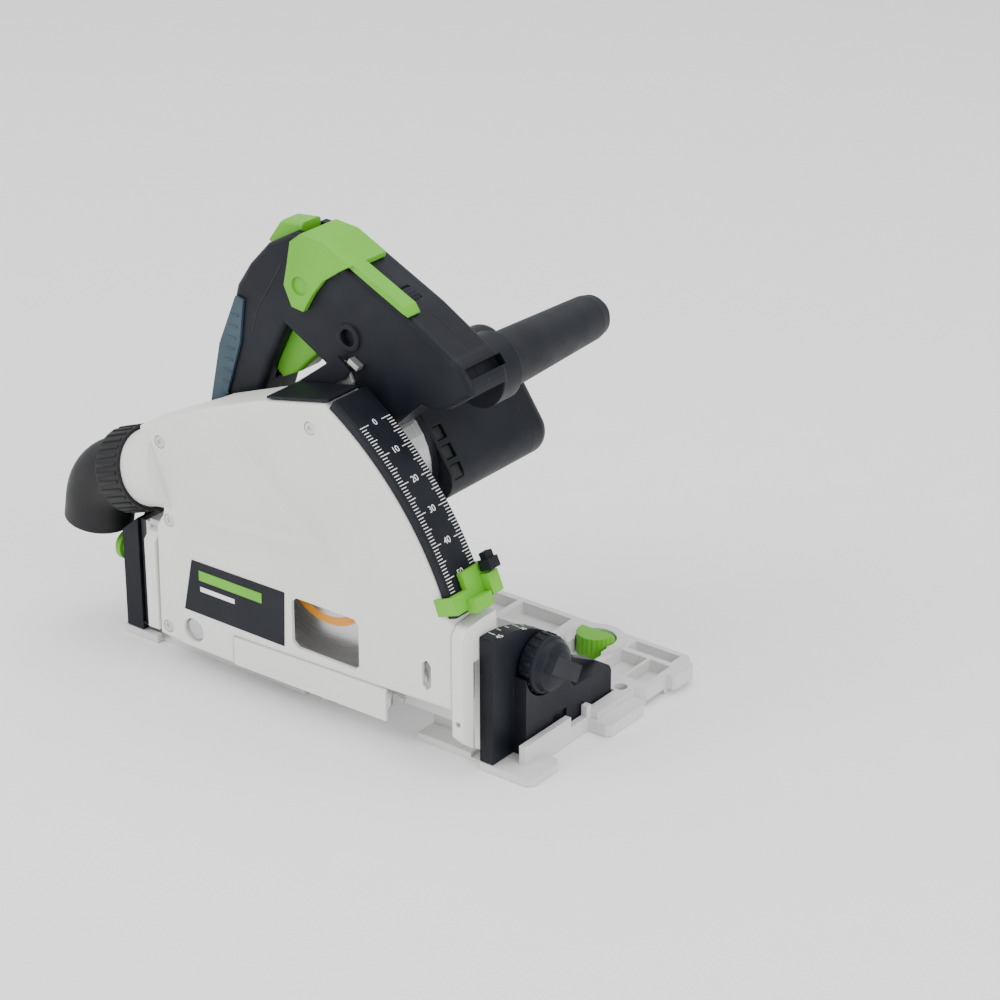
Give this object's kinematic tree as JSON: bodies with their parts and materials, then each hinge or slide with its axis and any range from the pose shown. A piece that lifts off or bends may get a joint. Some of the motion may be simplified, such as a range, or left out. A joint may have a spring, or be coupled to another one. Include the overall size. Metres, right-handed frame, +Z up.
{
  "type": "track plunge saw",
  "caption": "Hand-held plunge-cut circular saw that rides on a guide rail, with tilting guard housing, plunging motor unit, D-handle and dust elbow.",
  "frame": {"origin": "on the sole plane, on the cut line at the plate's near edge, at mid length", "axes": "+X is the cutting direction, +Y from the blade to the motor side, +Z up"},
  "size_m": [0.3285, 0.1754, 0.26],
  "materials": {
    "cast_plate": "fine textured powder coat",
    "glide": "slippery green strip",
    "dark_plastic": "finely grained blue-black nylon",
    "green_plastic": "satin green nylon",
    "grip_rubber": "soft ribbed slate-teal rubber",
    "grey_plastic": "satin dark grey",
    "die_cast": "bead blasted die casting",
    "steel": "ground and oiled",
    "black_steel": "black oxide",
    "blade_steel": "circular ground with carbide teeth",
    "copper_wound": "varnished winding",
    "carbon": "pressed carbon",
    "board": "potted circuit board"
  },
  "bodies": {
    "base": {"base_plate": "cast_plate", "glide_strips": "glide", "front_segment": "dark_plastic", "rear_segment": "dark_plastic", "segment_screws": "black_steel", "front_clamp_bolt": "steel", "rear_clamp_bolt": "steel"},
    "front_jaw": {"front_jaw_adjuster": "green_plastic"},
    "rear_jaw": {"rear_jaw_adjuster": "green_plastic"},
    "undercut_button": {"undercut_button": "green_plastic"},
    "front_knob": {"front_knob": "dark_plastic"},
    "rear_knob": {"rear_knob": "dark_plastic"},
    "saw_housing": {"guard_cover": "cast_plate", "guard_housing": "cast_plate", "front_bracket": "cast_plate", "rear_bracket": "cast_plate", "tongue_panel": "cast_plate", "depth_scale_strip": "dark_plastic", "name_plate": "dark_plastic", "pivot_pin": "steel", "cover_screws": "black_steel", "return_spring": "steel", "dust_collar": "grey_plastic"},
    "dust_elbow": {"dust_elbow": "grey_plastic"},
    "depth_stop": {"depth_stop": "green_plastic"},
    "depth_stop_button": {"depth_stop_button": "dark_plastic"},
    "plunge_unit": {"gear_case": "die_cast", "gear_cover": "die_cast", "motor_housing": "dark_plastic", "motor_end_cap": "dark_plastic", "handle_left_shell": "dark_plastic", "handle_right_shell": "dark_plastic", "grip_pad": "grip_rubber", "auxiliary_handle": "grip_rubber", "stop_lug": "die_cast", "stator": "copper_wound", "rotor_bearings": "steel", "arbor_bearings": "steel", "carbon_brushes": "carbon", "switch_module": "grey_plastic", "control_electronics": "board", "cord_inlet": "grey_plastic"},
    "trigger": {"trigger": "green_plastic"},
    "lock_off_button": {"lock_off_button": "green_plastic"},
    "blade_change_lever": {"blade_change_lever": "green_plastic"},
    "speed_dial": {"speed_dial": "green_plastic"},
    "lock_lever": {"lock_lever": "dark_plastic"},
    "riving_knife": {"riving_knife": "steel"},
    "rotor": {"rotor_shaft": "steel", "armature": "copper_wound", "commutator": "copper_wound", "cooling_fan": "dark_plastic"},
    "idler": {"idler_gear": "steel"},
    "arbor": {"arbor": "steel", "output_gear": "steel", "outer_flange": "steel", "saw_blade": "blade_steel", "blade_bolt": "black_steel"}
  },
  "joints": [
    {"name": "front_jaw_turn", "type": "hinge", "parent": "base", "child": "front_jaw", "pos_m": [0.086, 0.131, 0.005], "axis": [0, 0, 1], "range_deg": [-45, 45]},
    {"name": "rear_jaw_turn", "type": "hinge", "parent": "base", "child": "rear_jaw", "pos_m": [-0.09, 0.131, 0.005], "axis": [0, 0, 1], "range_deg": [-45, 45]},
    {"name": "undercut_press", "type": "slide", "parent": "base", "child": "undercut_button", "axis": [1, 0, 0], "range_m": [0, 0.0027], "stiffness_N_per_m": 900},
    {"name": "front_knob_turn", "type": "hinge", "parent": "base", "child": "front_knob", "pos_m": [0.12, 0.033, 0.0515], "axis": [1, 0, 0], "range_deg": [-10, 120]},
    {"name": "rear_knob_turn", "type": "hinge", "parent": "base", "child": "rear_knob", "pos_m": [-0.14, 0.033, 0.0515], "axis": [1, 0, 0], "range_deg": [-10, 120]},
    {"name": "bevel_tilt", "type": "hinge", "parent": "base", "child": "saw_housing", "pos_m": [0, 0, 0], "axis": [1, 0, 0], "range_deg": [-1, 47]},
    {"name": "elbow_swivel", "type": "hinge", "parent": "saw_housing", "child": "dust_elbow", "pos_m": [-0.097, 0.004, 0.1135], "axis": [-0.9397, 0, -0.342], "continuous": true},
    {"name": "depth_set", "type": "hinge", "parent": "saw_housing", "child": "depth_stop", "pos_m": [-0.078, 0, 0.026], "axis": [0, 1, 0], "range_deg": [-28.7, 0]},
    {"name": "depth_stop_press", "type": "slide", "parent": "depth_stop", "child": "depth_stop_button", "axis": [-0.9048, 0, -0.4258], "range_m": [0, 0.0012], "stiffness_N_per_m": 900},
    {"name": "plunge", "type": "hinge", "parent": "saw_housing", "child": "plunge_unit", "pos_m": [-0.078, 0, 0.026], "axis": [0, 1, 0], "range_deg": [0, 34.4], "stiffness_Nm_per_rad": 4, "springref_deg": -57.3},
    {"name": "trigger_pull", "type": "hinge", "parent": "plunge_unit", "child": "trigger", "pos_m": [-0.041, 0.033, 0.2085], "axis": [0, 1, 0], "range_deg": [0, 7], "stiffness_Nm_per_rad": 0.6},
    {"name": "lock_off_press", "type": "slide", "parent": "plunge_unit", "child": "lock_off_button", "axis": [0.8829, 0, 0.4695], "range_m": [0, 0.003], "stiffness_N_per_m": 700},
    {"name": "blade_change_turn", "type": "hinge", "parent": "plunge_unit", "child": "blade_change_lever", "pos_m": [-0.018, 0.033, 0.258], "axis": [0, 1, 0], "range_deg": [-60, 0]},
    {"name": "speed_turn", "type": "hinge", "parent": "plunge_unit", "child": "speed_dial", "pos_m": [0.0336, 0.033, 0.2267], "axis": [0, 1, 0], "range_deg": [-135, 135]},
    {"name": "lock_lever_turn", "type": "hinge", "parent": "plunge_unit", "child": "lock_lever", "pos_m": [0.006, 0.0145, 0.192], "axis": [0, 1, 0], "range_deg": [0, 25], "stiffness_Nm_per_rad": 0.5},
    {"name": "riving_knife_swing", "type": "hinge", "parent": "plunge_unit", "child": "riving_knife", "pos_m": [0.00749, 0.006, 0.08345], "axis": [0, 1, 0], "range_deg": [-18, 0], "stiffness_Nm_per_rad": 0.8},
    {"name": "arbor_spin", "type": "hinge", "parent": "plunge_unit", "child": "arbor", "pos_m": [0.00749, 0.02, 0.08345], "axis": [0, 1, 0], "continuous": true},
    {"name": "idler_spin", "type": "hinge", "parent": "plunge_unit", "child": "idler", "pos_m": [0.01183, 0.03, 0.10858], "axis": [0, 1, 0], "continuous": true},
    {"name": "rotor_spin", "type": "hinge", "parent": "plunge_unit", "child": "rotor", "pos_m": [0.003, 0.08, 0.1325], "axis": [0, 1, 0], "continuous": true}
  ],
  "couplings": [
    {"joint": "idler_spin", "follows": "arbor_spin", "ratio": -1.8333},
    {"joint": "rotor_spin", "follows": "arbor_spin", "ratio": 4.4}
  ]
}
